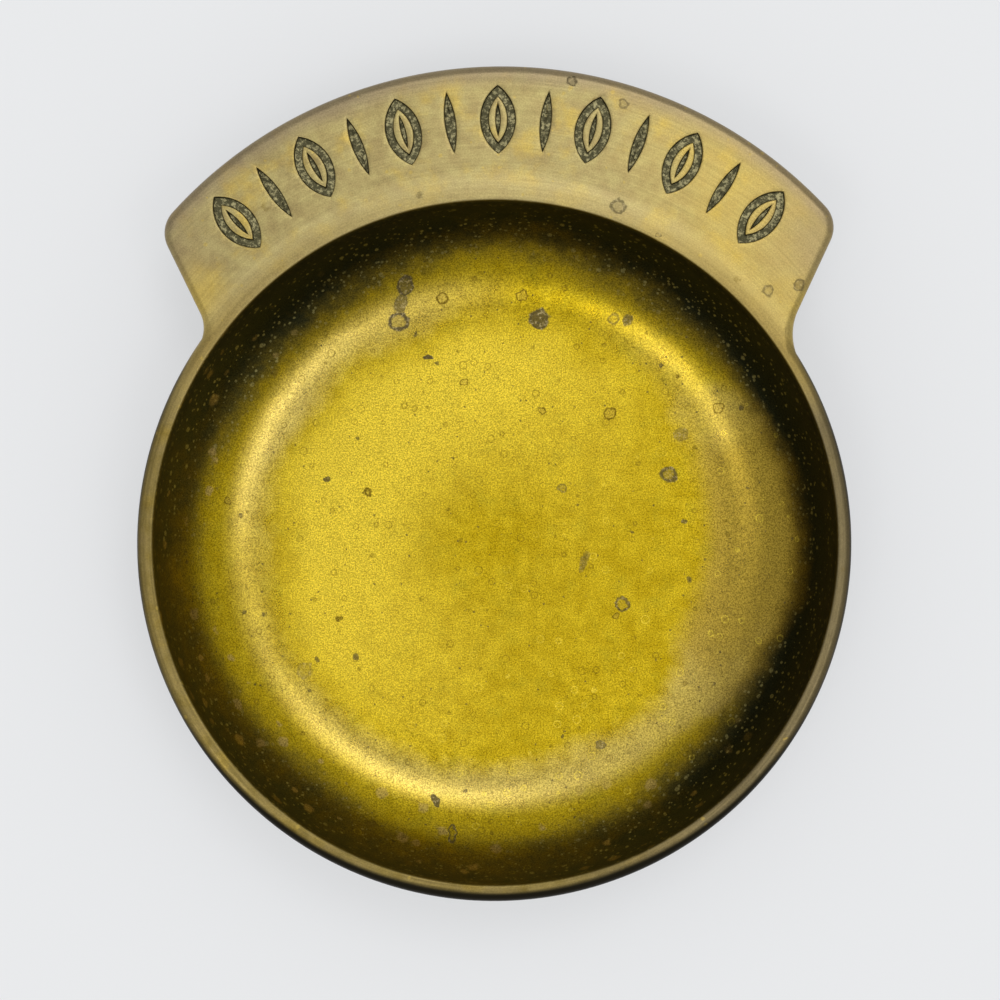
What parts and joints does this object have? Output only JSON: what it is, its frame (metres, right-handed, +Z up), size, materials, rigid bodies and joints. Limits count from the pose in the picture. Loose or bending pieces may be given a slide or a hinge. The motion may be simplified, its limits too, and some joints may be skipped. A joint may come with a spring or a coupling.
{
  "type": "coin tray",
  "caption": "Round cast brass dish with a steep coved wall, a fan-shaped plate along one side of its rim that carries a sunk leaf border, and a felt base pad.",
  "frame": {"origin": "on the bowl's axis, in the plane of the felt's underside, where the tray meets the table", "axes": "+Z up, away from the table; +Y from the bowl to the middle of the plate; +X to the right, seen from above with the plate at the top"},
  "size_m": [0.127, 0.1484, 0.024],
  "materials": {
    "aged_brass": "satin",
    "green_felt": "matte",
    "contact_glue": "satin"
  },
  "bodies": {
    "root": {"tray_casting": "aged_brass", "base_felt": "green_felt", "felt_adhesive": "contact_glue"}
  },
  "joints": []
}
